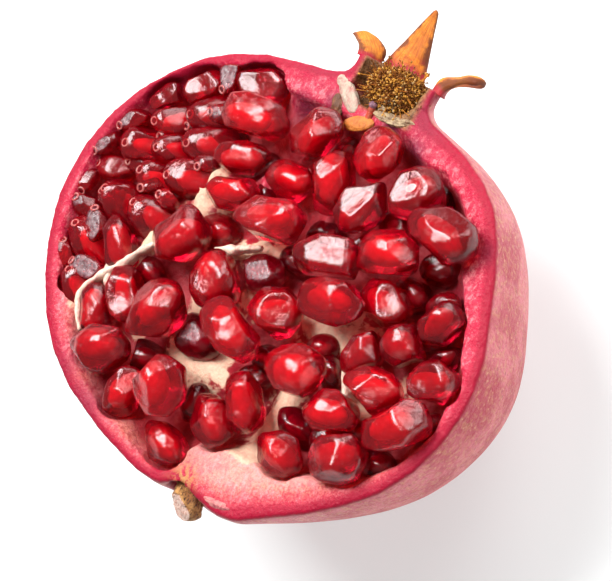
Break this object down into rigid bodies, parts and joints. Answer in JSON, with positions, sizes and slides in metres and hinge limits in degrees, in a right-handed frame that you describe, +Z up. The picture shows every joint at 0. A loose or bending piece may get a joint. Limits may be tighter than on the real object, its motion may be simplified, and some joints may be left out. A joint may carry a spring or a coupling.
{
  "type": "half pomegranate",
  "caption": "Half of a ripe pomegranate cut through crown and stem, lying on its rounded back with the loose arils of its cut face up.",
  "frame": {"origin": "middle of the small flat under the rounded back, on which the half rests", "axes": "+Z up, square to the cut face; +Y along the fruit from stem to crown; +X across the cut face, to the right when the crown points away"},
  "size_m": [0.1001, 0.1061, 0.0613],
  "materials": {
    "rind": "pink-red skin with yellow-green speckle outside, pink to cream moist flesh on the cut face",
    "aril": "wet translucent deep red pulp round a pale seed",
    "sepal": "dry orange-brown leathery, darker at the edges",
    "stamens": "dry brown threads with paler heads",
    "style": "dry reddish stalk with a grey tip",
    "stem": "thin olive-brown bark with a pale cut end"
  },
  "bodies": {
    "root": {"rind": "rind", "aril_01": "aril", "aril_02": "aril", "aril_03": "aril", "aril_04": "aril", "aril_05": "aril", "aril_06": "aril", "aril_07": "aril", "aril_08": "aril", "aril_09": "aril", "aril_10": "aril", "aril_11": "aril", "aril_12": "aril", "aril_13": "aril", "aril_14": "aril", "aril_15": "aril", "aril_16": "aril", "aril_17": "aril", "aril_18": "aril", "aril_19": "aril", "aril_20": "aril", "aril_21": "aril", "aril_22": "aril", "aril_23": "aril", "aril_24": "aril", "aril_25": "aril", "aril_26": "aril", "aril_27": "aril", "aril_28": "aril", "aril_29": "aril", "aril_30": "aril", "aril_31": "aril", "aril_32": "aril", "aril_33": "aril", "aril_34": "aril", "aril_35": "aril", "aril_36": "aril", "aril_37": "aril", "aril_38": "aril", "aril_39": "aril", "aril_40": "aril", "aril_41": "aril", "aril_42": "aril", "aril_43": "aril", "aril_44": "aril", "aril_45": "aril", "aril_46": "aril", "aril_47": "aril", "aril_48": "aril", "aril_49": "aril", "aril_50": "aril", "aril_51": "aril", "aril_52": "aril", "aril_53": "aril", "sepal_left": "sepal", "sepal_back": "sepal", "sepal_right": "sepal", "stamens": "stamens", "style": "style", "stem": "stem"}
  },
  "joints": []
}
